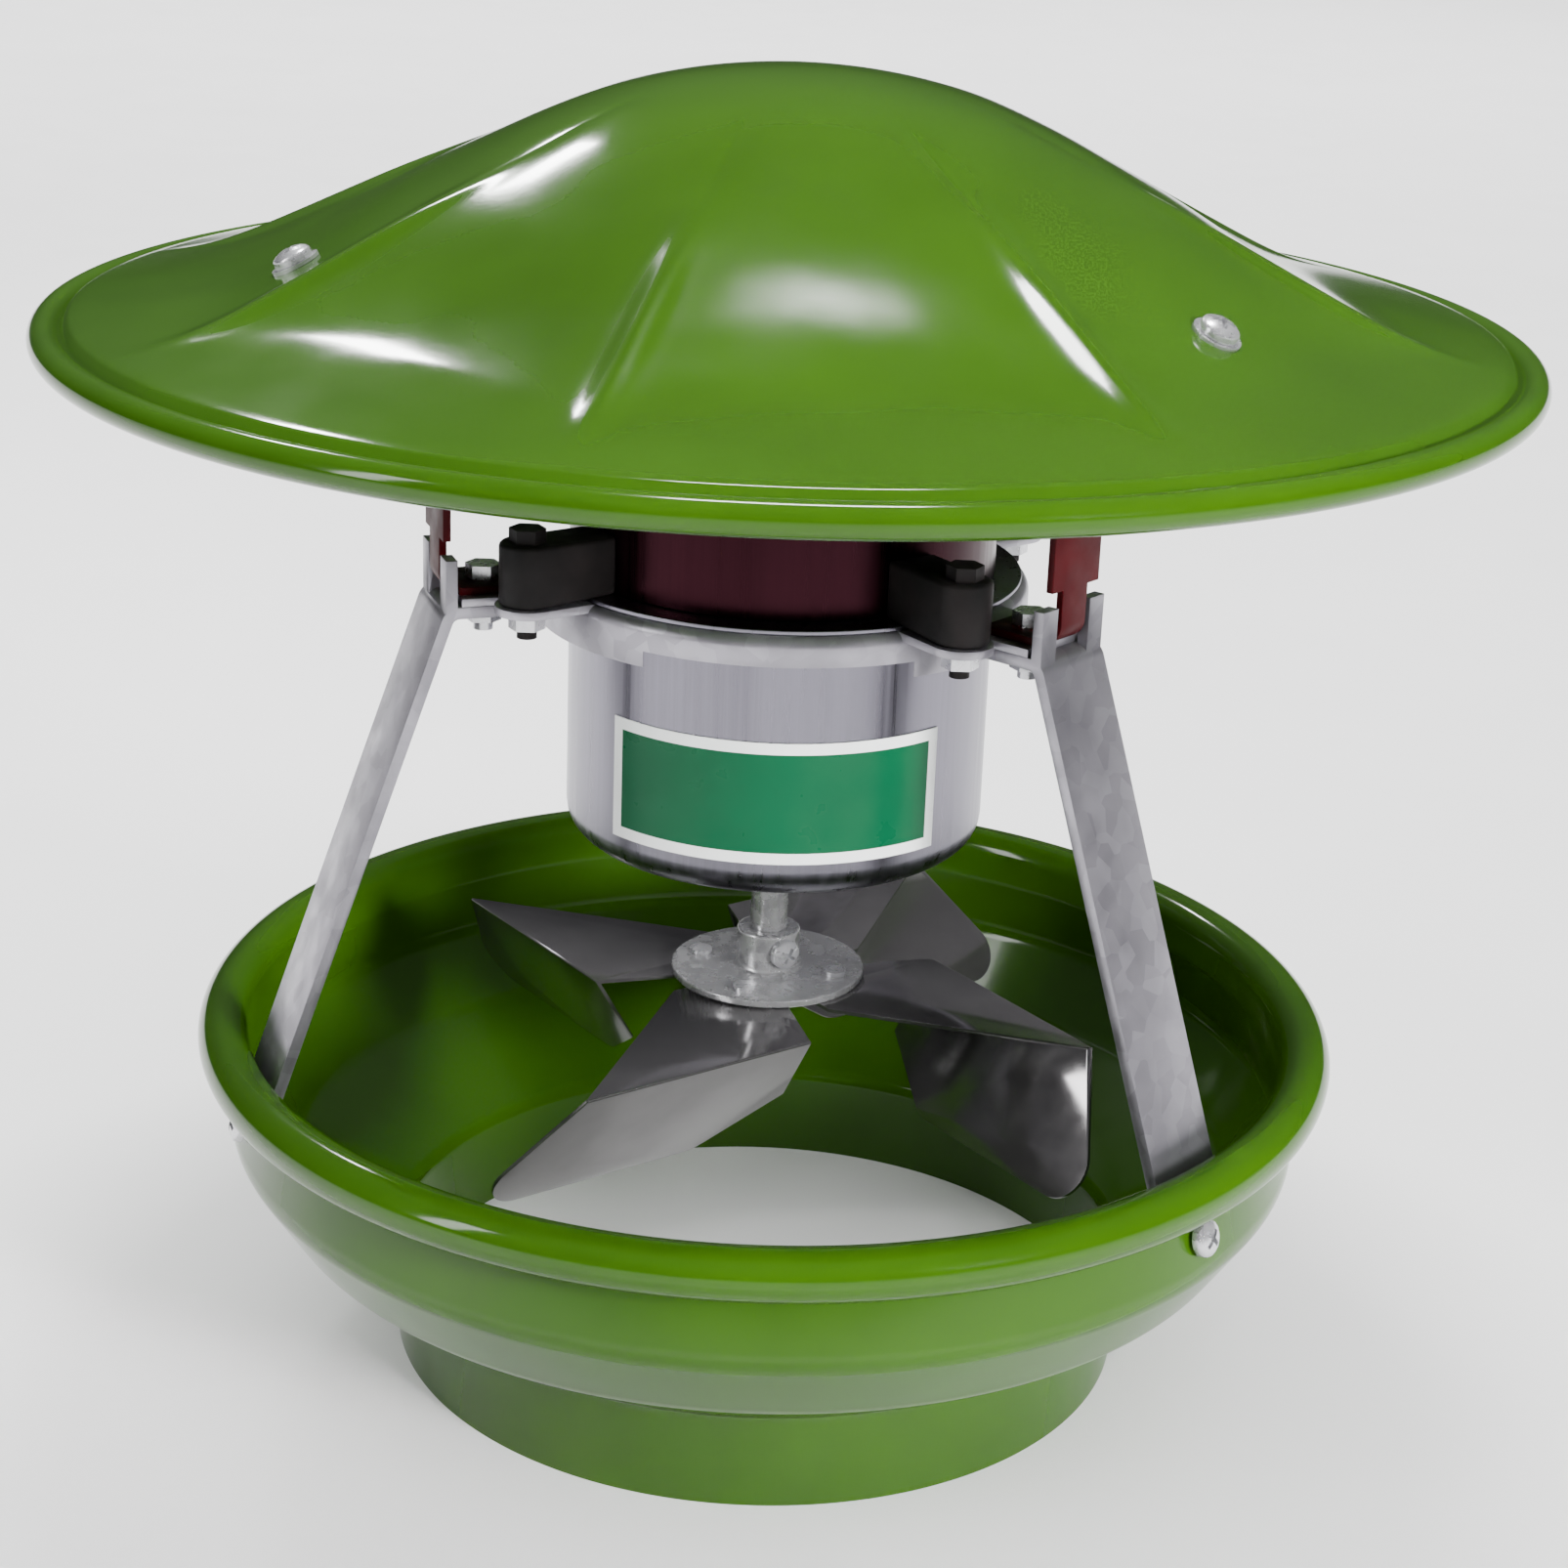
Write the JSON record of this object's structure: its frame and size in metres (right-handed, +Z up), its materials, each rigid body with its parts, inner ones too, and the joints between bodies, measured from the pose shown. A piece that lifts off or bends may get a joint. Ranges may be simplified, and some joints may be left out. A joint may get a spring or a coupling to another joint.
{
  "type": "chimney draught fan",
  "caption": "Chimney draught fan with a ridged rain cap, a motor hung on folded legs and a sheet-metal fan above a flue collar.",
  "frame": {"origin": "centre of the lower edge of the flue collar", "axes": "+Z up along the flue and the motor shaft, -Y towards the rating plate"},
  "size_m": [0.3749, 0.375, 0.3449],
  "materials": {
    "green_enamel": "gloss",
    "galvanised_steel": "satin",
    "red_primer": "satin",
    "motor_steel": "satin",
    "motor_casting": "satin",
    "plate_print": "satin",
    "core_steel": "matte",
    "winding_copper": "satin",
    "bright_steel": "polished",
    "blade_steel": "polished",
    "black_rubber": "matte",
    "zinc_fastener": "satin"
  },
  "bodies": {
    "housing": {"cap": "green_enamel", "base_bowl": "green_enamel", "motor_bracket": "galvanised_steel", "motor_lower_shell": "motor_steel", "motor_upper_shell": "motor_casting", "rating_plate": "plate_print", "stator_core": "core_steel", "stator_windings": "winding_copper", "upper_bearing": "bright_steel", "lower_bearing": "bright_steel", "cable_grommet": "black_rubber", "cap_bolts": "zinc_fastener", "cap_washers": "zinc_fastener", "cap_nuts": "zinc_fastener", "frame_bolts": "zinc_fastener", "frame_nuts": "zinc_fastener", "motor_bolts": "zinc_fastener", "motor_nuts": "zinc_fastener", "foot_bolts": "zinc_fastener", "foot_nuts": "zinc_fastener", "leg_1": "galvanised_steel", "cap_stay_1": "red_primer", "leg_2": "galvanised_steel", "cap_stay_2": "red_primer", "leg_3": "galvanised_steel", "cap_stay_3": "red_primer"},
    "rotor": {"shaft": "bright_steel", "rotor_core": "core_steel", "fan_hub": "bright_steel", "set_screw": "zinc_fastener", "fan_blade_1": "blade_steel", "fan_blade_2": "blade_steel", "fan_blade_3": "blade_steel", "fan_blade_4": "blade_steel", "blade_rivets": "zinc_fastener"}
  },
  "joints": [
    {"name": "fan_spin", "type": "hinge", "parent": "housing", "child": "rotor", "pos_m": [0, 0, 0.104], "axis": [0, 0, 1], "continuous": true}
  ]
}
